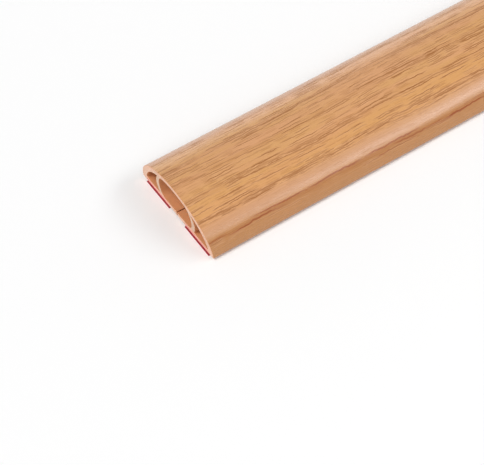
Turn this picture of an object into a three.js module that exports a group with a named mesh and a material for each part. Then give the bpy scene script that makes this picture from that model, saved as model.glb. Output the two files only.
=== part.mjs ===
// Floor cord cover: a soft, low strip that lies over cords on a floor, seen here as one length
// of stock with its release liners still on.
//
// Millimetres. X runs along the strip, Y across it and Z up. The origin is on the floor, under
// the middle of the strip. The underside of the extrusion is called the base plane.

import * as THREE from 'three';

// Length of stock
const stripLength = 1000;

// Outside of the extrusion: half an ellipse, on lips with a small rounded bottom corner
const stripWidth = 60;
const archHeight = 18;
const lipRound = 0.8;

// Walls of the extrusion
const crownWall = 2.2;
const lipWall = 3.6;
const baseWall = 2.3;

// Middle channel, and the two bowed ribs beside it that carry the arch
const channelFloorWidth = 23;
const channelRoofWidth = 22;
const ribWall = 2.7;
const ribBow = 2.2;
const mainCornerRound = 2;
const sideCornerRound = 1.1;

// Slit through the base, where the cords are pressed in
const slitWidth = 0.8;

// Two adhesive tapes under the base, each with its liner
const tapeEdgeMargin = 3.5;
const tapeSlitMargin = 6.5;
const tapeThickness = 0.75;
const linerThickness = 0.25;
const linerOverhang = 0.5;

// Steps along each arc of the section
const arcSteps = 12;

// Underside of the arch: an ellipse inside the outer one, thicker at the lips than at the crown
const roofReach = stripWidth / 2 - lipWall;
const roofRise = archHeight - crownWall;

// Angle on the underside of the arch, at a distance across from the middle
function roofAngle(across) {
  return Math.acos(across / roofReach);
}

// Point on the underside of the arch
function roofPoint(angle) {
  return new THREE.Vector2(roofReach * Math.cos(angle), roofRise * Math.sin(angle));
}

// Angle that a short way along the underside of the arch takes up
function roofStep(angle, way) {
  return way / Math.hypot(roofReach * Math.sin(angle), roofRise * Math.cos(angle));
}

// Angle where the underside of the arch comes down to the top of the base
const roofFoot = Math.asin(baseWall / roofRise);

// Rib face from the base up to the arch, bowed away from the middle: an arc with its angles
function ribFace(footAcross, headAcross) {
  const foot = new THREE.Vector2(footAcross, baseWall);
  const head = roofPoint(roofAngle(headAcross));
  const chord = head.clone().sub(foot);
  const halfChord = chord.length() / 2;
  const radius = (halfChord ** 2 + ribBow ** 2) / (2 * ribBow);
  const inward = new THREE.Vector2(-chord.y, chord.x).normalize();
  const centre = foot.clone().lerp(head, 0.5).addScaledVector(inward, radius - ribBow);
  const footAngle = foot.clone().sub(centre).angle();
  const headAngle = head.clone().sub(centre).angle();
  return { foot, head, centre, radius, footAngle: footAngle - 2 * Math.PI, headAngle };
}

const innerFace = ribFace(channelFloorWidth / 2, channelRoofWidth / 2);
const outerFace = ribFace(channelFloorWidth / 2 + ribWall, channelRoofWidth / 2 + ribWall);

// Rounds a corner of the outline: a curve from where the path stands to the next point
function roundCorner(path, corner, next) {
  path.quadraticCurveTo(corner.x, corner.y, next.x, next.y);
}

// Point on a rib face
function facePoint(face, angle) {
  const spoke = new THREE.Vector2(face.radius * Math.cos(angle), face.radius * Math.sin(angle));
  return face.centre.clone().add(spoke);
}

// Right half of the section, from the crown over the lip and the base to the channel's roof
function halfSection() {
  const halfWidth = stripWidth / 2;
  const path = new THREE.Path();
  path.moveTo(0, archHeight);
  path.absellipse(0, lipRound, halfWidth, archHeight - lipRound, Math.PI / 2, 0, true);
  roundCorner(path, new THREE.Vector2(halfWidth, 0), new THREE.Vector2(halfWidth - lipRound, 0));
  path.lineTo(slitWidth / 2, 0);
  path.lineTo(slitWidth / 2, baseWall);
  path.lineTo(innerFace.foot.x - mainCornerRound, baseWall);
  const turn = mainCornerRound / innerFace.radius;
  const { centre, radius, footAngle, headAngle } = innerFace;
  roundCorner(path, innerFace.foot, facePoint(innerFace, footAngle + turn));
  path.absarc(centre.x, centre.y, radius, footAngle + turn, headAngle - turn, false);
  const corner = roofAngle(innerFace.head.x);
  const roofStart = corner + roofStep(corner, mainCornerRound);
  roundCorner(path, innerFace.head, roofPoint(roofStart));
  path.absellipse(0, 0, roofReach, roofRise, roofStart, Math.PI / 2, false);
  return path.getPoints(arcSteps);
}

// Side channel of the right half, between the rib and the lip
function sideChannel() {
  const turn = sideCornerRound / outerFace.radius;
  const { centre, radius, footAngle, headAngle } = outerFace;
  const lipCorner = roofPoint(roofFoot);
  const lipStart = roofFoot + roofStep(roofFoot, sideCornerRound);
  const corner = roofAngle(outerFace.head.x);
  const roofEnd = corner - roofStep(corner, sideCornerRound);
  const path = new THREE.Path();
  path.moveTo(outerFace.foot.x + sideCornerRound, baseWall);
  path.lineTo(lipCorner.x - sideCornerRound, baseWall);
  roundCorner(path, lipCorner, roofPoint(lipStart));
  path.absellipse(0, 0, roofReach, roofRise, lipStart, roofEnd, false);
  roundCorner(path, outerFace.head, facePoint(outerFace, headAngle - turn));
  path.absarc(centre.x, centre.y, radius, headAngle - turn, footAngle + turn, true);
  const start = new THREE.Vector2(outerFace.foot.x + sideCornerRound, baseWall);
  roundCorner(path, outerFace.foot, start);
  return path.getPoints(arcSteps).slice(0, -1);
}

// The same points on the other side of the middle, in the opposite order
function mirrored(points) {
  return points.map((point) => new THREE.Vector2(-point.x, point.y)).reverse();
}

// Stands a section that was drawn in X and Y and extruded along Z across the strip
const acrossStrip = new THREE.Matrix4().makeBasis(
  new THREE.Vector3(0, 1, 0),
  new THREE.Vector3(0, 0, 1),
  new THREE.Vector3(1, 0, 0),
);

// The extrusion: base, arch and ribs in one piece
function coverStrip() {
  const right = halfSection();
  const section = new THREE.Shape([...right, ...mirrored(right).slice(1, -1)]);
  const channel = sideChannel();
  section.holes.push(new THREE.Path(channel), new THREE.Path(mirrored(channel)));
  const geometry = new THREE.ExtrudeGeometry(section, { depth: stripLength, bevelEnabled: false });
  geometry.applyMatrix4(acrossStrip);
  const material = new THREE.MeshStandardMaterial({ color: 0xcf9c66, roughness: 0.5 });
  const mesh = new THREE.Mesh(geometry, material);
  mesh.name = 'cover_strip';
  mesh.position.set(-stripLength / 2, 0, linerThickness + tapeThickness);
  return mesh;
}

// Tapes and liners are as wide as the bare margins leave room for
const tapeWidth = stripWidth / 2 - tapeEdgeMargin - tapeSlitMargin;
const tapeMiddle = tapeSlitMargin + tapeWidth / 2;

// Flat band under the base, its bottom at a height above the floor
function band(name, length, thickness, bottom, side, material) {
  const mesh = new THREE.Mesh(new THREE.BoxGeometry(length, tapeWidth, thickness), material);
  mesh.name = name;
  mesh.position.set(0, side * tapeMiddle, bottom + thickness / 2);
  return mesh;
}

const tapeMaterial = new THREE.MeshStandardMaterial({
  color: 0xe9d8c6,
  roughness: 0.25,
  transparent: true,
  opacity: 0.5,
});
const linerMaterial = new THREE.MeshStandardMaterial({ color: 0xd03c3c, roughness: 0.45 });
const linerLength = stripLength + 2 * linerOverhang;

const cordCover = new THREE.Group();
cordCover.add(coverStrip());
for (const [sideName, side] of [['left', 1], ['right', -1]]) {
  const tapeName = `adhesive_tape_${sideName}`;
  const linerName = `release_liner_${sideName}`;
  cordCover.add(band(tapeName, stripLength, tapeThickness, linerThickness, side, tapeMaterial));
  cordCover.add(band(linerName, linerLength, linerThickness, 0, side, linerMaterial));
}

export default cordCover;
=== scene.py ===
import math

import bpy
import numpy as np
from mathutils import Matrix, Vector


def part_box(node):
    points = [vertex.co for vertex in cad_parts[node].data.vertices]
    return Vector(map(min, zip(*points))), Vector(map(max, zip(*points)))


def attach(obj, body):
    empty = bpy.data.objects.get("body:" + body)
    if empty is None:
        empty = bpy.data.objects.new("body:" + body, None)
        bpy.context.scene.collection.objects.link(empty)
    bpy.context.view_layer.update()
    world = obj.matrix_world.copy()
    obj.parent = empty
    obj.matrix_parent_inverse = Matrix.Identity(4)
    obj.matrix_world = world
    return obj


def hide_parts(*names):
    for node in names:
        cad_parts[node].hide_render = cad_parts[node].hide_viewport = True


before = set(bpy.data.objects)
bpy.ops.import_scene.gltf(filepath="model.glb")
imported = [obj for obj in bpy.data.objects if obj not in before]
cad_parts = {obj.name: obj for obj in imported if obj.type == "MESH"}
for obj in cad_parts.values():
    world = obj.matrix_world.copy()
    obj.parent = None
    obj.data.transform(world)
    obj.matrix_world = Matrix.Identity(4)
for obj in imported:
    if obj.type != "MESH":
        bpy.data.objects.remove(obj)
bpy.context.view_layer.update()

# Sizes are in metres. The strip's own come from its solid in the frame.
strip_low, strip_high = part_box("cover_strip")
LENGTH = strip_high.x - strip_low.x
HALF_WIDTH = strip_high.y
RISE = strip_high.z - strip_low.z
BASE_HEIGHT = strip_low.z
tape_low, tape_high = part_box("adhesive_tape_left")
TAPE_MIDDLE = (tape_low.y + tape_high.y) / 2
TAPE_WIDTH = tape_high.y - tape_low.y
TAPE_TOP = tape_high.z

# Section of the extrusion
LIP_ROUND = 0.0008
CROWN_WALL = 0.0022
LIP_WALL = 0.0036
BASE_WALL = 0.0023
CHANNEL_FLOOR_HALF = 0.0115
CHANNEL_ROOF_HALF = 0.011
RIB_WALL = 0.0027
RIB_BOW = 0.0022
MAIN_CORNER = 0.002
SIDE_CORNER = 0.0011
SLIT_HALF = 0.0004
ROOF_REACH = HALF_WIDTH - LIP_WALL
ROOF_RISE = RISE - CROWN_WALL

# The cut ends: how far in the knife breaks their edges
BROKEN_EDGE = 0.00012

# The bowed ribs on a cut end: about the middle of their wall, and the heights above the floor
# where they run into the arch
RIB_MIDDLE = 0.0142
RIB_TOP = (0.0135, 0.0155)

# Long edges of the tapes and liners: how round they are, and how far in they wander
TAPE_CORNER = 0.00015
TAPE_WANDER = 0.0003
LINER_CORNER = 0.00008
LINER_WANDER = 0.00015
BAND_STATIONS = 251
BAND_KNOTS = 60
BAND_CORNER_POINTS = 4

# Places in the print, measured across it from the crown of the arch
ROW_SPACING = 0.0104
ROW_SHIFT = 0.0008
# SHOULDER and LEFT_SHOULDER place the painted sheen on the shoulders
SHOULDER = 0.0255
LEFT_SHOULDER = 0.0235
LIP_STREAK = 0.0305

# Noises in the finishes: size along the strip, size across it, detail and seed
PORE_PATCHES = (0.03, 0.004, 2.0, 5.5)
HONEY_STREAKS = (0.045, 0.006, 2.0, 9.2)
BROAD_BANDS = (0.5, 0.014, 1.0, 12.4)
WOOD_FIBRE = (0.03, 0.0007, 3.0, 15.0)
PVC_CLOUDS = (0.03, 0.008, 2.0, 8.8)
FILM_RIPPLES = (0.02, 0.006, 2.0, 6.1)

# Sways of the print: size along the strip, size across it, reach and seed
LONG_SWAY = (0.06, 0.02, 0.003, 1.3)
SHORT_SWAY = (0.012, 0.01, 0.0012, 4.1)
ROW_SWAY = (0.9, 0.012, 0.003, 7.7)
LIP_SWAY = (0.02, 0.006, 0.0016, 27.5)

# Dashes in the print: length, spacing across, and the shift that draws their places
LONG_PORES = (0.019, 0.00095, 40.3)
SHORT_PORES = (0.01, 0.0009, 71.8)
PORE_CHAINS = (0.045, 0.0014, 23.6)
FINE_PORES = (0.0075, 0.00075, 17.9)
LIP_DASHES = (0.035, 0.0015, 52.7)

# Colours of the print
HONEY = (0.71, 0.371, 0.144, 1)
ROSE_HONEY = (0.72, 0.362, 0.168, 1)
YELLOW_HONEY = (0.70, 0.34, 0.108, 1)
TAN = (0.58, 0.28, 0.12, 1)
ROW_BROWN = (0.53, 0.225, 0.075, 1)
FIBRE_BROWN = (0.44, 0.19, 0.04, 1)
# Browner towards the lips: partly the print, partly painted shade on the lower sides
LIP_BROWN_AND_SHADE = (0.44, 0.182, 0.048, 1)
# Painted sheen on the shoulders, not a colour of the print
SHEEN_ROSE_TAN = (0.58, 0.31, 0.195, 1)
STREAK_RED = (0.31, 0.06, 0.0, 1)
RIM_PALE = (0.86, 0.5, 0.28, 1)
PORE_BROWN = (0.325, 0.1, 0.0, 1)

# Colours of the plastic, each with its shade
PVC_TAN = (0.71, 0.32, 0.145, 1)
PVC_SHADE = (0.62, 0.26, 0.11, 1)
CUT_PALE = (0.86, 0.54, 0.38, 1)
CUT_SHADE = (0.62, 0.35, 0.23, 1)
# Painted red light on the cut base, thrown up from the red films below
CUT_RED_LIGHT = (0.95, 0.31, 0.28, 1)
RIB_GREY = (0.56, 0.45, 0.33, 1)

# Colours of the tapes and the liners
# The adhesive is clear: its pink and dark red are painted red light and shade from the film below
TAPE_CLEAR = (0.95, 0.60, 0.48, 1)
TAPE_SHADE = (0.86, 0.50, 0.40, 1)
TAPE_RED_LIGHT = (0.36, 0.028, 0.042, 1)
FILM_RED = (0.60, 0.036, 0.048, 1)
FILM_SHADE = (0.47, 0.024, 0.034, 1)
# Painted shade on the film's cut ends
FILM_END_SHADE = (0.25, 0.026, 0.045, 1)

# Steps along the arcs of the section
ARCH_STEPS = 120
ROOF_STEPS = 36
RIB_STEPS = 20
CORNER_STEPS = 6
LIP_STEPS = 8


def add_node(tree, kind, inputs=None, **settings):
    """A node in a tree, with its settings and with its inputs set or linked."""
    made = tree.nodes.new(kind)
    for name, value in settings.items():
        setattr(made, name, value)
    for key, value in (inputs or {}).items():
        if isinstance(value, bpy.types.NodeSocket):
            tree.links.new(value, made.inputs[key])
        else:
            made.inputs[key].default_value = value
    return made


def maths(tree, operation, *values):
    """The result of one sum in a node tree."""
    made = add_node(tree, "ShaderNodeMath", dict(enumerate(values)), operation=operation)
    return made.outputs[0]


def new_object(name, data):
    """An object in the scene, with its mesh, camera or light."""
    thing = bpy.data.objects.new(name, data)
    bpy.context.scene.collection.objects.link(thing)
    return thing


# Outline of the section, in its own plane: X across the strip, Y up from the base plane


def on_ellipse(reach, rise, lift, start, end, steps):
    """Points on an ellipse about the middle of the strip, from one angle to another."""
    turns = np.linspace(start, end, steps + 1)
    return np.stack([reach * np.cos(turns), lift + rise * np.sin(turns)], 1)


def rounded(start, corner, end, steps=CORNER_STEPS):
    """Points of a rounded corner, without its two ends."""
    t = np.linspace(0, 1, steps + 1)[1:-1, None]
    return (1 - t) ** 2 * start + 2 * t * (1 - t) * corner + t**2 * end


def rib_face(foot_across, head_across):
    """A bowed rib face: its foot, its head, its arc's centre and radius, and its two angles."""
    foot = np.array([foot_across, BASE_WALL])
    head = np.array([head_across, ROOF_RISE * math.sqrt(1 - (head_across / ROOF_REACH) ** 2)])
    chord = head - foot
    half = np.hypot(*chord) / 2
    radius = (half**2 + RIB_BOW**2) / (2 * RIB_BOW)
    inward = np.array([-chord[1], chord[0]]) / (2 * half)
    centre = (foot + head) / 2 + inward * (radius - RIB_BOW)
    angles = [math.atan2(*(end - centre)[::-1]) for end in (foot, head)]
    return foot, head, centre, radius, angles


def roof_turn(across, way):
    """The angle of a point on the arch's underside, and the angle that a short way there takes."""
    angle = math.acos(across / ROOF_REACH)
    return angle, way / math.hypot(ROOF_REACH * math.sin(angle), ROOF_RISE * math.cos(angle))


def on_arc(centre, radius, start, end):
    """Points on a rib face's arc, from one angle to another."""
    turns = np.linspace(start, end, RIB_STEPS + 1)
    return centre + radius * np.stack([np.cos(turns), np.sin(turns)], 1)


def half_outline():
    """The right half of the outer outline, from the crown down to the lip, along the base, up
    the slit and round the middle channel to its roof. Also how many of its points are printed."""
    arch = on_ellipse(HALF_WIDTH, RISE - LIP_ROUND, LIP_ROUND, math.pi / 2, 0, ARCH_STEPS // 2)
    lip_end = np.array([HALF_WIDTH - LIP_ROUND, 0])
    lip = rounded(arch[-1], np.array([HALF_WIDTH, 0]), lip_end, LIP_STEPS)
    foot, head, centre, radius, (foot_angle, head_angle) = rib_face(
        CHANNEL_FLOOR_HALF, CHANNEL_ROOF_HALF
    )
    turn = MAIN_CORNER / radius
    face = on_arc(centre, radius, foot_angle + turn, head_angle - turn)
    corner, step = roof_turn(head[0], MAIN_CORNER)
    roof = on_ellipse(ROOF_REACH, ROOF_RISE, 0, corner + step, math.pi / 2, ROOF_STEPS // 2)
    floor_end = np.array([foot[0] - MAIN_CORNER, BASE_WALL])
    slit = np.array([[SLIT_HALF, 0], [SLIT_HALF, BASE_WALL]])
    parts = [arch, lip, [lip_end], slit, [floor_end], rounded(floor_end, foot, face[0]), face]
    parts += [rounded(face[-1], head, roof[0]), roof]
    return np.concatenate(parts), len(arch) + len(lip)


def side_outline():
    """The outline of the right side channel."""
    foot, head, centre, radius, (foot_angle, head_angle) = rib_face(
        CHANNEL_FLOOR_HALF + RIB_WALL, CHANNEL_ROOF_HALF + RIB_WALL
    )
    turn = SIDE_CORNER / radius
    face = on_arc(centre, radius, head_angle - turn, foot_angle + turn)
    lip_corner = np.array([ROOF_REACH * math.sqrt(1 - (BASE_WALL / ROOF_RISE) ** 2), BASE_WALL])
    lip_angle, lip_step = roof_turn(lip_corner[0], SIDE_CORNER)
    head_turn, head_step = roof_turn(head[0], SIDE_CORNER)
    roof = on_ellipse(
        ROOF_REACH, ROOF_RISE, 0, lip_angle + lip_step, head_turn - head_step, ROOF_STEPS
    )
    start = foot + np.array([SIDE_CORNER, 0])
    end = lip_corner - np.array([SIDE_CORNER, 0])
    parts = [[start], [end], rounded(end, lip_corner, roof[0]), roof]
    parts += [rounded(roof[-1], head, face[0]), face, rounded(face[-1], foot, start)]
    return np.concatenate(parts)


def inward_normals(points):
    """The way into the plastic from each point of a closed outline, which has it on its right."""
    ahead = np.roll(points, -1, 0) - points
    ahead /= np.linalg.norm(ahead, axis=1, keepdims=True)
    along = ahead + np.roll(ahead, 1, 0)
    along /= np.linalg.norm(along, axis=1, keepdims=True)
    return np.stack([along[:, 1], -along[:, 0]], 1)


def section_object():
    """The outlines as loose edges, each point with its way across the print and into the wall."""
    right, printed = half_outline()
    left = (right * [-1, 1])[::-1]
    outer = np.concatenate([right, left[1:-1]])
    steps = np.linalg.norm(np.diff(right[:printed], axis=0), axis=1)
    way = np.concatenate([[0], np.cumsum(steps)])
    across = np.full(len(outer), way[-1])
    across[:printed] = way
    across[len(outer) - printed + 1:] = -way[:0:-1]
    film = np.zeros(len(outer))
    film[:printed] = 1
    film[len(outer) - printed + 1:] = 1
    channel = side_outline()
    other = (channel * [-1, 1])[::-1]
    loops = [outer, channel, other]
    points = np.concatenate(loops)
    inward = np.concatenate([inward_normals(loop) for loop in loops])
    edges = []
    first = 0
    for loop in loops:
        count = len(loop)
        edges += [(first + i, first + (i + 1) % count) for i in range(count)]
        first += count
    mesh = bpy.data.meshes.new("section_outline")
    mesh.from_pydata([(x, y, 0) for x, y in points], edges, [])
    spare = len(points) - len(outer)
    for name, values in (("across", across), ("film", film)):
        layer = mesh.attributes.new(name, "FLOAT", "POINT")
        layer.data.foreach_set("value", np.append(values, np.zeros(spare)))
    layer = mesh.attributes.new("inward", "FLOAT_VECTOR", "POINT")
    layer.data.foreach_set("vector", np.column_stack([inward, np.zeros(len(points))]).ravel())
    return new_object("section_outline", mesh)


# Pieces from Geometry Nodes


def extrusion_tree():
    """Geometry Nodes that draw a section out to a length, with broken edges and closed ends."""
    tree = bpy.data.node_groups.new("draw_out_section", "GeometryNodeTree")
    face = tree.interface
    face.new_socket("Section", in_out="INPUT", socket_type="NodeSocketGeometry")
    for name in ("Length", "Broken Edge", "Start", "Height"):
        face.new_socket(name, in_out="INPUT", socket_type="NodeSocketFloat")
    for name in ("Print", "Body", "Cut"):
        face.new_socket(name, in_out="INPUT", socket_type="NodeSocketMaterial")
    face.new_socket("Strip", in_out="OUTPUT", socket_type="NodeSocketGeometry")
    given = add_node(tree, "NodeGroupInput").outputs
    edge = given["Broken Edge"]

    def named(name, kind="FLOAT"):
        made = add_node(tree, "GeometryNodeInputNamedAttribute", {"Name": name}, data_type=kind)
        return made.outputs["Attribute"]

    def above(value, limit):
        inputs = {0: value, 1: limit}
        made = add_node(
            tree, "FunctionNodeCompare", inputs, data_type="FLOAT", operation="GREATER_THAN"
        )
        return made.outputs[0]

    def scaled(vector, scale):
        inputs = {0: vector, "Scale": scale}
        return add_node(tree, "ShaderNodeVectorMath", inputs, operation="SCALE").outputs[0]

    inset = scaled(named("inward", "FLOAT_VECTOR"), edge)
    inputs = {"Geometry": given["Section"], "Offset": inset}
    start = add_node(tree, "GeometryNodeSetPosition", inputs)
    walls, selected = start.outputs[0], None
    body = maths(tree, "SUBTRACT", given["Length"], maths(tree, "MULTIPLY", edge, 2.0))
    outward = scaled(inset, -1.0)
    for way, spread in ((edge, outward), (body, None), (edge, inset)):
        up = add_node(tree, "ShaderNodeCombineXYZ", {"Z": way}).outputs[0]
        inputs = {"Mesh": walls, "Offset": up, "Offset Scale": 1.0}
        if selected:
            inputs["Selection"] = selected
        drawn = add_node(tree, "GeometryNodeExtrudeMesh", inputs, mode="EDGES")
        walls, selected = drawn.outputs["Mesh"], drawn.outputs["Top"]
        if spread:
            inputs = {"Geometry": walls, "Selection": selected, "Offset": spread}
            walls = add_node(tree, "GeometryNodeSetPosition", inputs).outputs[0]

    outline = add_node(tree, "GeometryNodeMeshToCurve", {"Mesh": start.outputs[0]}).outputs[0]
    cap = add_node(tree, "GeometryNodeFillCurve", {"Curve": outline}).outputs[0]
    turned = add_node(tree, "GeometryNodeFlipFaces", {"Mesh": cap}).outputs[0]
    far = add_node(tree, "ShaderNodeCombineXYZ", {"Z": given["Length"]}).outputs[0]
    lifted = add_node(tree, "GeometryNodeSetPosition", {"Geometry": cap, "Offset": far}).outputs[0]

    joined = add_node(tree, "GeometryNodeJoinGeometry")
    for geometry in (lifted, turned, walls):
        tree.links.new(geometry, joined.inputs[0])
    inputs = {"Geometry": joined.outputs[0], "Distance": 1e-6}
    merged = add_node(tree, "GeometryNodeMergeByDistance", inputs).outputs[0]
    place = add_node(tree, "ShaderNodeCombineXYZ", {"X": given["Start"], "Z": given["Height"]})
    stand = {"Geometry": merged, "Translation": place.outputs[0]}
    stand["Rotation"] = (math.pi / 2, 0, math.pi / 2)
    stood = add_node(tree, "GeometryNodeTransform", stand).outputs[0]
    place = add_node(tree, "GeometryNodeInputPosition").outputs[0]
    along = add_node(tree, "ShaderNodeSeparateXYZ", {0: place})
    flow = add_node(tree, "ShaderNodeCombineXYZ", {"X": along.outputs["X"], "Y": named("across")})
    inputs = {"Geometry": stood, "Name": "print_map", "Value": flow.outputs[0]}
    mapped = add_node(
        tree, "GeometryNodeStoreNamedAttribute", inputs, data_type="FLOAT2", domain="CORNER"
    ).outputs[0]
    smooth = add_node(tree, "GeometryNodeSetShadeSmooth", {"Geometry": mapped}).outputs[0]
    angle = add_node(tree, "GeometryNodeInputMeshEdgeAngle").outputs["Unsigned Angle"]
    sharp = above(angle, math.radians(25))
    inputs = {"Geometry": smooth, "Selection": sharp, "Shade Smooth": False}
    creased = add_node(tree, "GeometryNodeSetShadeSmooth", inputs, domain="EDGE").outputs[0]

    # Print on the arch and lips, a cut finish on the ends, plain plastic elsewhere
    facing = add_node(tree, "GeometryNodeInputNormal").outputs[0]
    endways = add_node(tree, "ShaderNodeSeparateXYZ", {0: facing}).outputs["X"]
    ends = above(maths(tree, "ABSOLUTE", endways), 0.95)
    strip = add_node(tree, "GeometryNodeRealizeInstances", {"Geometry": creased}).outputs[0]
    for finish, selection in (("Body", True), ("Print", above(named("film"), 0.9)), ("Cut", ends)):
        inputs = {"Geometry": strip, "Selection": selection, "Material": given[finish]}
        strip = add_node(tree, "GeometryNodeSetMaterial", inputs).outputs[0]
    end = add_node(tree, "NodeGroupOutput")
    tree.links.new(strip, end.inputs[0])
    return tree


def by_nodes(name, source, tree, inputs):
    """A plain mesh piece made by a tree from a source object, which is then removed."""
    modifier = source.modifiers.new("made_by_rule", "NODES")
    modifier.node_group = tree
    for socket in tree.interface.items_tree:
        if socket.item_type == "SOCKET" and socket.in_out == "INPUT" and socket.name in inputs:
            modifier[socket.identifier] = inputs[socket.name]
    graph = bpy.context.evaluated_depsgraph_get()
    mesh = bpy.data.meshes.new_from_object(source.evaluated_get(graph))
    mesh.name = name
    source.modifiers.remove(modifier)
    bpy.data.objects.remove(source)
    return new_object(name, mesh)


# Materials


def new_material(name):
    """A material, its node tree and its shader."""
    material = bpy.data.materials.new(name)
    material.use_nodes = True
    tree = material.node_tree
    return material, tree, tree.nodes["Principled BSDF"]


def stretched_noise(tree, along, across, along_size, across_size, detail, seed):
    """Noise with grains of one size along the strip and another across it."""
    flow = add_node(
        tree,
        "ShaderNodeCombineXYZ",
        {
            "X": maths(tree, "DIVIDE", along, along_size),
            "Y": maths(tree, "DIVIDE", across, across_size),
            "Z": seed,
        },
    ).outputs[0]
    made = add_node(tree, "ShaderNodeTexNoise", {"Vector": flow, "Scale": 1.0, "Detail": detail})
    return made.outputs["Fac"]


def apart(tree, value, middle):
    """How far a value lies from another, either way."""
    return maths(tree, "ABSOLUTE", maths(tree, "SUBTRACT", value, middle))


def ramped(tree, value, low, high, out_low=0.0, out_high=1.0):
    """A value eased from one range to another, and held past its ends."""
    inputs = {"Value": value, 1: low, 2: high, 3: out_low, 4: out_high}
    made = add_node(tree, "ShaderNodeMapRange", inputs, interpolation_type="SMOOTHSTEP")
    return made.outputs[0]


def mixed(tree, share, first, second):
    """Two colours mixed. The Mix node takes them at inputs 6 and 7, and gives its own at 2."""
    made = add_node(tree, "ShaderNodeMix", {0: share, 6: first, 7: second}, data_type="RGBA")
    return made.outputs[2]


def add_bump(tree, shader, height, strength, distance):
    """Relief on a finish, as deep as the distance."""
    inputs = {"Height": height, "Strength": strength, "Distance": distance}
    bump = add_node(tree, "ShaderNodeBump", inputs)
    tree.links.new(bump.outputs[0], shader.inputs["Normal"])


def sway(tree, along, across, along_size, across_size, reach, seed):
    """A soft random way to either side, up to half its reach."""
    noise = stretched_noise(tree, along, across, along_size, across_size, 1.0, seed)
    return maths(tree, "MULTIPLY", maths(tree, "SUBTRACT", noise, 0.5), reach)


def dashes(tree, along, across, density, length, spacing, shift):
    """Thin swaying dashes along the strip, at random places, and the pale rims beside them.
    A higher density keeps more of them."""
    flow = add_node(
        tree,
        "ShaderNodeCombineXYZ",
        {
            "X": maths(tree, "ADD", maths(tree, "DIVIDE", along, length), shift),
            "Y": maths(tree, "ADD", maths(tree, "DIVIDE", across, spacing), shift),
        },
    ).outputs[0]
    inputs = {"Vector": flow, "Scale": 1.0, "Randomness": 0.8}
    cells = add_node(tree, "ShaderNodeTexVoronoi", inputs, voronoi_dimensions="2D")
    inputs = {0: flow, 1: cells.outputs["Position"]}
    offset = add_node(tree, "ShaderNodeVectorMath", inputs, operation="SUBTRACT").outputs[0]
    offset = add_node(tree, "ShaderNodeSeparateXYZ", {0: offset})
    chance = add_node(tree, "ShaderNodeSeparateColor", {0: cells.outputs["Color"]})
    swaying = sway(tree, along, chance.outputs[2], 0.003, 0.02, 0.9, shift)
    beside = maths(tree, "ABSOLUTE", maths(tree, "ADD", offset.outputs["Y"], swaying))
    kept = ramped(tree, maths(tree, "SUBTRACT", density, chance.outputs[0]), 0.0, 0.15)
    ends = ramped(tree, maths(tree, "ABSOLUTE", offset.outputs["X"]), 0.25, 0.5, 1.0, 0.0)
    depth = ramped(tree, chance.outputs[1], 0.0, 1.0, 0.65, 1.0)
    strength = maths(tree, "MULTIPLY", maths(tree, "MULTIPLY", ends, depth), kept)
    body = ramped(tree, beside, 0.15, 0.34, 1.0, 0.0)
    rim = ramped(tree, beside, 0.34, 0.64, 1.0, 0.0)
    return maths(tree, "MULTIPLY", body, strength), maths(tree, "MULTIPLY", rim, strength)


def growth_rows(tree, along, flat, across):
    """How far each place lies in a growth row: 1 along its middle, 0 between the rows."""
    uneven = sway(tree, along, flat, *ROW_SWAY)
    shifted = maths(tree, "ADD", maths(tree, "ADD", across, uneven), ROW_SHIFT)
    phase = maths(tree, "DIVIDE", shifted, ROW_SPACING)
    wave = maths(tree, "COSINE", maths(tree, "MULTIPLY", phase, 2 * math.pi))
    return ramped(tree, wave, 0.2, 1.0)


def print_pores(tree, along, across, away, row):
    """Short dark pores, thick in the rows, thin between them and few on the shoulders, the left
    one above all. Also the pale rims beside them."""
    patches = stretched_noise(tree, along, across, *PORE_PATCHES)
    density = ramped(tree, patches, 0.36, 0.64, 0.22, 0.46)
    richer = ramped(tree, away, 0.008, 0.02, 0.2, 0.8)
    density = maths(tree, "ADD", density, maths(tree, "MULTIPLY", row, richer))
    bare = ramped(tree, away, 0.0225, 0.025, 0.0, 0.75)
    # Few pores on the left shoulder: painted sheen, standing in for glare that hides them there
    bare = maths(tree, "ADD", bare, ramped(tree, across, 0.0155, 0.0205, 0.0, 0.6))
    density = maths(tree, "SUBTRACT", density, bare)
    long_pores, long_rims = dashes(tree, along, across, density, *LONG_PORES)
    fewer = maths(tree, "MULTIPLY", density, 0.7)
    short_pores, short_rims = dashes(tree, along, across, fewer, *SHORT_PORES)
    chained = maths(tree, "SUBTRACT", maths(tree, "MULTIPLY", row, 0.8), bare)
    chains, chain_rims = dashes(tree, along, across, chained, *PORE_CHAINS)
    fine_pores, _ = dashes(tree, along, across, 0.55, *FINE_PORES)
    pore = maths(tree, "MAXIMUM", long_pores, maths(tree, "MULTIPLY", short_pores, 0.85))
    pore = maths(tree, "MAXIMUM", pore, maths(tree, "MULTIPLY", chains, 0.9))
    between = maths(tree, "SUBTRACT", 0.46, maths(tree, "MULTIPLY", bare, 0.3))
    pore = maths(tree, "MAXIMUM", pore, maths(tree, "MULTIPLY", fine_pores, between))
    rim = maths(tree, "MAXIMUM", maths(tree, "MAXIMUM", long_rims, short_rims), chain_rims)
    return pore, rim


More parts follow.
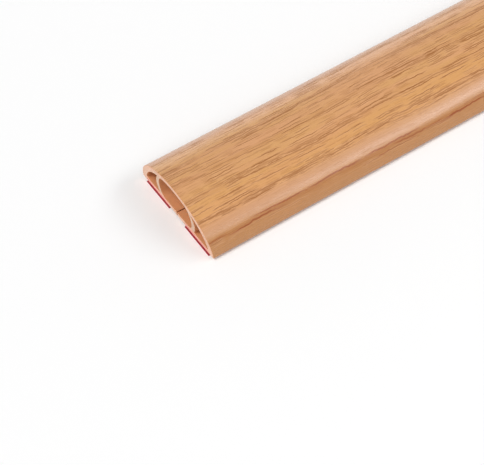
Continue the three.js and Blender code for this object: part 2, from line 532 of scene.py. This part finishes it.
def ground_colour(tree, along, flat, across, away, row, fibre):
    """Honey in soft streaks, yellower on the right, browner in the rows and at the lips, where it
    is partly print and partly painted shade. A painted sheen of rose tan lies on the shoulders.
    """
    streaks = stretched_noise(tree, along, across, *HONEY_STREAKS)
    colour = mixed(tree, ramped(tree, streaks, 0.35, 0.65), HONEY, ROSE_HONEY)
    broad = stretched_noise(tree, along, flat, *BROAD_BANDS)
    colour = mixed(tree, ramped(tree, broad, 0.4, 0.75, 0.0, 0.15), colour, TAN)
    yellow = ramped(tree, flat, -0.005, -0.018, 0.0, 0.5)
    colour = mixed(tree, yellow, colour, YELLOW_HONEY)
    colour = mixed(tree, maths(tree, "MULTIPLY", row, 0.24), colour, ROW_BROWN)
    colour = mixed(tree, ramped(tree, fibre, 0.3, 0.7, 0.0, 0.15), colour, FIBRE_BROWN)
    # Browner towards each lip: partly the print, partly painted shade where the sides turn away
    # from the light
    colour = mixed(tree, ramped(tree, away, 0.0225, 0.031, 0.0, 0.8), colour, LIP_BROWN_AND_SHADE)

    # A band of painted sheen in rose tan on each shoulder, and a wider one over it on the left
    shoulder_sheen = ramped(tree, apart(tree, away, SHOULDER), 0.001, 0.0045, 0.45, 0.0)
    left = ramped(tree, apart(tree, flat, LEFT_SHOULDER), 0.001, 0.006, 0.5, 0.0)
    return mixed(tree, maths(tree, "MAXIMUM", shoulder_sheen, left), colour, SHEEN_ROSE_TAN)


def lip_streaks(tree, along, flat, away):
    """How strong the red-brown streak beside each lip is."""
    lip_way = maths(tree, "ADD", away, sway(tree, along, flat, *LIP_SWAY))
    beside = apart(tree, lip_way, LIP_STREAK)
    near = ramped(tree, beside, 0.0004, 0.0022, 1.0, 0.0)
    streaks, _ = dashes(tree, along, lip_way, near, *LIP_DASHES)
    stain = ramped(tree, beside, 0.0, 0.0014, 0.25, 0.0)
    return maths(tree, "MAXIMUM", streaks, stain)


def print_material():
    """Oak-coloured wood print: straight rows of short dark pores on honey, under a satin film."""
    material, tree, shader = new_material("wood_grain_print")
    flow = add_node(tree, "ShaderNodeUVMap", uv_map="print_map").outputs[0]
    parts = add_node(tree, "ShaderNodeSeparateXYZ", {0: flow})
    along, flat = parts.outputs["X"], parts.outputs["Y"]
    across = maths(tree, "ADD", flat, sway(tree, along, flat, *LONG_SWAY))
    across = maths(tree, "ADD", across, sway(tree, along, flat, *SHORT_SWAY))
    away = maths(tree, "ABSOLUTE", across)
    fibre = stretched_noise(tree, along, across, *WOOD_FIBRE)
    row = growth_rows(tree, along, flat, across)
    pore, rim = print_pores(tree, along, across, away, row)

    colour = ground_colour(tree, along, flat, across, away, row, fibre)
    colour = mixed(tree, lip_streaks(tree, along, flat, away), colour, STREAK_RED)
    colour = mixed(tree, maths(tree, "MULTIPLY", rim, 0.42), colour, RIM_PALE)
    colour = mixed(tree, maths(tree, "MULTIPLY", pore, 0.97), colour, PORE_BROWN)
    tree.links.new(colour, shader.inputs["Base Color"])

    gloss = ramped(tree, fibre, 0.3, 0.7, 0.25, 0.31)
    gloss = maths(tree, "ADD", gloss, maths(tree, "MULTIPLY", pore, 0.3))
    tree.links.new(gloss, shader.inputs["Roughness"])
    relief = maths(tree, "SUBTRACT", maths(tree, "MULTIPLY", fibre, 0.4), pore)
    add_bump(tree, shader, relief, 0.25, 0.00004)
    shader.inputs["Specular IOR Level"].default_value = 0.8
    return material


def cut_tint(tree, parts, plain):
    """The colour of a cut end: painted red light low down over the red films, and greyer on the
    ribs.
    """
    away = maths(tree, "ABSOLUTE", parts.outputs["Y"])
    off_tape = apart(tree, away, TAPE_MIDDLE)
    over = ramped(tree, off_tape, 0.45 * TAPE_WIDTH, 0.55 * TAPE_WIDTH, 0.9, 0.0)
    height = parts.outputs["Z"]
    low = ramped(tree, height, BASE_HEIGHT, BASE_HEIGHT + 1.2 * BASE_WALL, 1.0, 0.0)
    # Painted red light from the films, low on the cut face over each tape
    colour = mixed(tree, maths(tree, "MULTIPLY", low, over), plain, CUT_RED_LIGHT)
    rib = ramped(tree, apart(tree, away, RIB_MIDDLE), 0.0022, 0.0034, 0.45, 0.0)
    above = ramped(tree, height, BASE_HEIGHT + BASE_WALL, BASE_HEIGHT + 1.5 * BASE_WALL)
    below = ramped(tree, height, *RIB_TOP, 1.0, 0.0)
    rib = maths(tree, "MULTIPLY", rib, maths(tree, "MULTIPLY", above, below))
    return mixed(tree, rib, colour, RIB_GREY)


def plastic_material(name, colour, shade, roughness, grain_along, grain_across, tint=None):
    """Plain tan PVC with the faint lines that the die or the knife leaves."""
    material, tree, shader = new_material(name)
    place = add_node(tree, "ShaderNodeTexCoord").outputs["Object"]
    parts = add_node(tree, "ShaderNodeSeparateXYZ", {0: place})
    along = parts.outputs["X"]
    about = maths(tree, "MULTIPLY", parts.outputs["Z"], 0.7)
    about = maths(tree, "ADD", parts.outputs["Y"], about)
    lines = stretched_noise(tree, along, about, grain_along, grain_across, 3.0, 3.3)
    clouds = stretched_noise(tree, along, about, *PVC_CLOUDS)
    share = maths(tree, "MULTIPLY", lines, 0.35)
    share = maths(tree, "ADD", share, maths(tree, "MULTIPLY", clouds, 0.35))
    plain = mixed(tree, share, colour, shade)
    if tint:
        plain = tint(tree, parts, plain)
    tree.links.new(plain, shader.inputs["Base Color"])
    sheen = ramped(tree, clouds, 0.3, 0.7, roughness, roughness + 0.08)
    tree.links.new(sheen, shader.inputs["Roughness"])
    add_bump(tree, shader, lines, 0.2, 0.00003)
    return material


def adhesive_material():
    """Clear soft adhesive, with painted red light from the film that it lies on, dark low down."""
    material, tree, shader = new_material("clear_adhesive")
    place = add_node(tree, "ShaderNodeTexCoord").outputs["Object"]
    height = add_node(tree, "ShaderNodeSeparateXYZ", {0: place}).outputs["Z"]
    haze = add_node(tree, "ShaderNodeTexNoise", {"Vector": place, "Scale": 260.0, "Detail": 3.0})
    haze = haze.outputs["Fac"]
    clear = mixed(tree, haze, TAPE_CLEAR, TAPE_SHADE)
    # Painted red light from the film, dark as in shade, strongest low in the adhesive
    red_light = ramped(tree, height, TAPE_TOP - 0.00015, TAPE_TOP + 0.00005, 1.0, 0.2)
    tree.links.new(mixed(tree, red_light, clear, TAPE_RED_LIGHT), shader.inputs["Base Color"])
    tree.links.new(ramped(tree, haze, 0.3, 0.7, 0.22, 0.38), shader.inputs["Roughness"])
    tree.links.new(ramped(tree, haze, 0.3, 0.7, 0.8, 0.9), shader.inputs["Alpha"])
    return material


def liner_material():
    """Thin red film, satin, with long soft ripples and painted shade on its cut ends."""
    material, tree, shader = new_material("red_release_film")
    place = add_node(tree, "ShaderNodeTexCoord").outputs["Object"]
    parts = add_node(tree, "ShaderNodeSeparateXYZ", {0: place})
    ripples = stretched_noise(tree, parts.outputs["X"], parts.outputs["Y"], *FILM_RIPPLES)
    specks = add_node(tree, "ShaderNodeTexNoise", {"Vector": place, "Scale": 900.0, "Detail": 2.0})
    share = maths(tree, "MULTIPLY", specks.outputs["Fac"], 0.4)
    colour = mixed(tree, share, FILM_RED, FILM_SHADE)
    far_out = maths(tree, "ABSOLUTE", parts.outputs["X"])
    # Painted shade on the last half millimetre at each cut end
    ends = ramped(tree, far_out, LENGTH / 2 - 0.0005, LENGTH / 2, 0.0, 0.5)
    tree.links.new(mixed(tree, ends, colour, FILM_END_SHADE), shader.inputs["Base Color"])
    tree.links.new(ramped(tree, ripples, 0.3, 0.7, 0.36, 0.48), shader.inputs["Roughness"])
    add_bump(tree, shader, ripples, 0.35, 0.0002)
    return material


# Pieces


def cover_strip():
    """The extrusion: base, arch and ribs in one piece, with its printed top."""
    inputs = {
        "Length": LENGTH,
        "Broken Edge": BROKEN_EDGE,
        "Start": strip_low.x,
        "Height": BASE_HEIGHT,
        "Print": print_material(),
        "Body": plastic_material("tan_pvc", PVC_TAN, PVC_SHADE, 0.42, 0.4, 0.0006),
        "Cut": plastic_material(
            "freshly_cut_pvc", CUT_PALE, CUT_SHADE, 0.55, 0.001, 0.0005, cut_tint
        ),
    }
    piece = by_nodes("printed_cover_strip", section_object(), extrusion_tree(), inputs)
    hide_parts("cover_strip")
    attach(piece, "root")


def band(name, node, material, corner, wander, seed):
    """A flat band with rounded long edges that wander a little, inside its solid's box."""
    low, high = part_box(node)
    draw = np.random.default_rng(seed)
    stations = np.linspace(low.x, high.x, BAND_STATIONS)
    knots = np.linspace(low.x, high.x, BAND_KNOTS)
    sides = [np.interp(stations, knots, draw.uniform(0, wander, BAND_KNOTS)) for _ in range(2)]
    turns = np.linspace(0, math.pi / 2, BAND_CORNER_POINTS)
    vertices = []
    for i, x in enumerate(stations):
        left, right = low.y + sides[0][i], high.y - sides[1][i]
        for y, z, start in (
            (right - corner, high.z - corner, 0),
            (left + corner, high.z - corner, math.pi / 2),
            (left + corner, low.z + corner, math.pi),
            (right - corner, low.z + corner, 3 * math.pi / 2),
        ):
            for turn in turns:
                place = y + corner * math.cos(start + turn), z + corner * math.sin(start + turn)
                vertices.append((x, *place))
    ring = 4 * len(turns)
    faces = []
    for i in range(len(stations) - 1):
        for j in range(ring):
            a, b = i * ring + j, i * ring + (j + 1) % ring
            faces.append((a, a + ring, b + ring, b)[::-1])
    faces.append(tuple(range(ring))[::-1])
    faces.append(tuple((len(stations) - 1) * ring + j for j in range(ring)))
    mesh = bpy.data.meshes.new(name)
    mesh.from_pydata(vertices, [], faces)
    mesh.materials.append(material)
    mesh.shade_smooth()
    mesh.set_sharp_from_angle(angle=math.radians(40))
    piece = new_object(name, mesh)
    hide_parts(node)
    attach(piece, "root")


def tapes_and_liners():
    """The two bands of adhesive under the base, each with its release film."""
    clear, red = adhesive_material(), liner_material()
    for seed, side in enumerate(("left", "right")):
        tape, liner = f"adhesive_tape_{side}", f"release_liner_{side}"
        tape_name, liner_name = f"clear_tape_{side}", f"red_liner_{side}"
        band(tape_name, tape, clear, TAPE_CORNER, TAPE_WANDER, seed)
        band(liner_name, liner, red, LINER_CORNER, LINER_WANDER, seed + 10)


# Camera, floor and light


# The lens and the sensor are in millimetres
CAMERA_FROM_END = Vector((-0.15768, -0.40125, 0.48022))
CAMERA_AZIMUTH = math.radians(65.081)
CAMERA_TILT = math.radians(-49.157)
CAMERA_ROLL = math.radians(-9.256)
CAMERA_LENS = 112.03
SENSOR_WIDTH = 36.0


def direction(azimuth, elevation):
    """The unit vector that points away along an azimuth and an elevation."""
    flat = math.cos(elevation)
    return Vector((flat * math.cos(azimuth), flat * math.sin(azimuth), math.sin(elevation)))


def camera():
    """The camera, high over the right of the near end, looking down across the strip."""
    data = bpy.data.cameras.new("camera")
    data.lens = CAMERA_LENS
    data.sensor_width = SENSOR_WIDTH
    data.clip_start, data.clip_end = 0.01, 50
    thing = new_object("camera", data)
    ahead = direction(CAMERA_AZIMUTH, CAMERA_TILT)
    turned = ahead.to_track_quat("-Z", "Y").to_matrix().to_4x4()
    turned = turned @ Matrix.Rotation(CAMERA_ROLL, 4, "Z")
    near_end = Vector((strip_low.x, 0, BASE_HEIGHT))
    thing.matrix_world = Matrix.Translation(near_end + CAMERA_FROM_END) @ turned
    bpy.context.scene.camera = thing


def floor():
    """A plain pale floor, wide enough for every view."""
    half = 8.0
    mesh = bpy.data.meshes.new("floor")
    corners = [(-half, -half, 0), (half, -half, 0), (half, half, 0), (-half, half, 0)]
    mesh.from_pydata(corners, [], [(0, 1, 2, 3)])
    material, tree, shader = new_material("pale_floor")
    shader.inputs["Base Color"].default_value = (0.96, 0.96, 0.96, 1)
    shader.inputs["Roughness"].default_value = 0.7
    shader.inputs["Specular IOR Level"].default_value = 0.2
    mesh.materials.append(material)
    thing = new_object("floor", mesh)


def aimed_light(name, data, aim, azimuth, elevation, distance):
    """Puts a light at a distance from the point that it faces."""
    thing = new_object(name, data)
    away = direction(math.radians(azimuth), math.radians(elevation))
    thing.location = Vector(aim) + away * distance
    thing.rotation_mode = "QUATERNION"
    thing.rotation_quaternion = away.to_track_quat("Z", "Y")


def softbox(name, aim, azimuth, elevation, distance, size, power):
    """A rectangular light that faces a point, its long side level."""
    data = bpy.data.lights.new(name, "AREA")
    data.shape = "RECTANGLE"
    data.size, data.size_y = size
    data.energy = power
    aimed_light(name, data, aim, azimuth, elevation, distance)


def walls():
    """Studio walls that are pale near the floor and dimmer overhead."""
    world = bpy.data.worlds.new("studio_walls")
    bpy.context.scene.world = world
    world.use_nodes = True
    tree = world.node_tree
    towards = add_node(tree, "ShaderNodeTexCoord").outputs["Generated"]
    rise = add_node(tree, "ShaderNodeSeparateXYZ", {0: towards}).outputs["Z"]
    wall = tree.nodes["Background"]
    wall.inputs["Color"].default_value = (1, 1, 1, 1)
    tree.links.new(ramped(tree, rise, 0.12, 0.42, 0.85, 0.3), wall.inputs["Strength"])


def main_light(azimuth, elevation, width, strength):
    """A wide soft light from so far away that the whole floor gets the same."""
    data = bpy.data.lights.new("main_light", "SUN")
    data.angle = math.radians(width)
    data.energy = strength
    aimed_light("main_light", data, (0, 0, 0), azimuth, elevation, 5)


def lights():
    """Soft studio light: one wide light, and three softboxes that the plastic mirrors."""
    walls()
    main_light(azimuth=180, elevation=63, width=36, strength=1.72)
    aim = (strip_low.x + 0.15, 0, 0)
    softbox("shoulder_light", aim, -43, 37.3, distance=4.0, size=(3.4, 1.1), power=52)
    softbox("end_light", aim, 215, 26, distance=4.0, size=(2.0, 2.0), power=14)
    softbox("back_light", aim, 68, 8, distance=5.0, size=(6.0, 1.2), power=15)


camera()
floor()
lights()
bpy.context.scene.view_settings.view_transform = "Standard"
cover_strip()
tapes_and_liners()
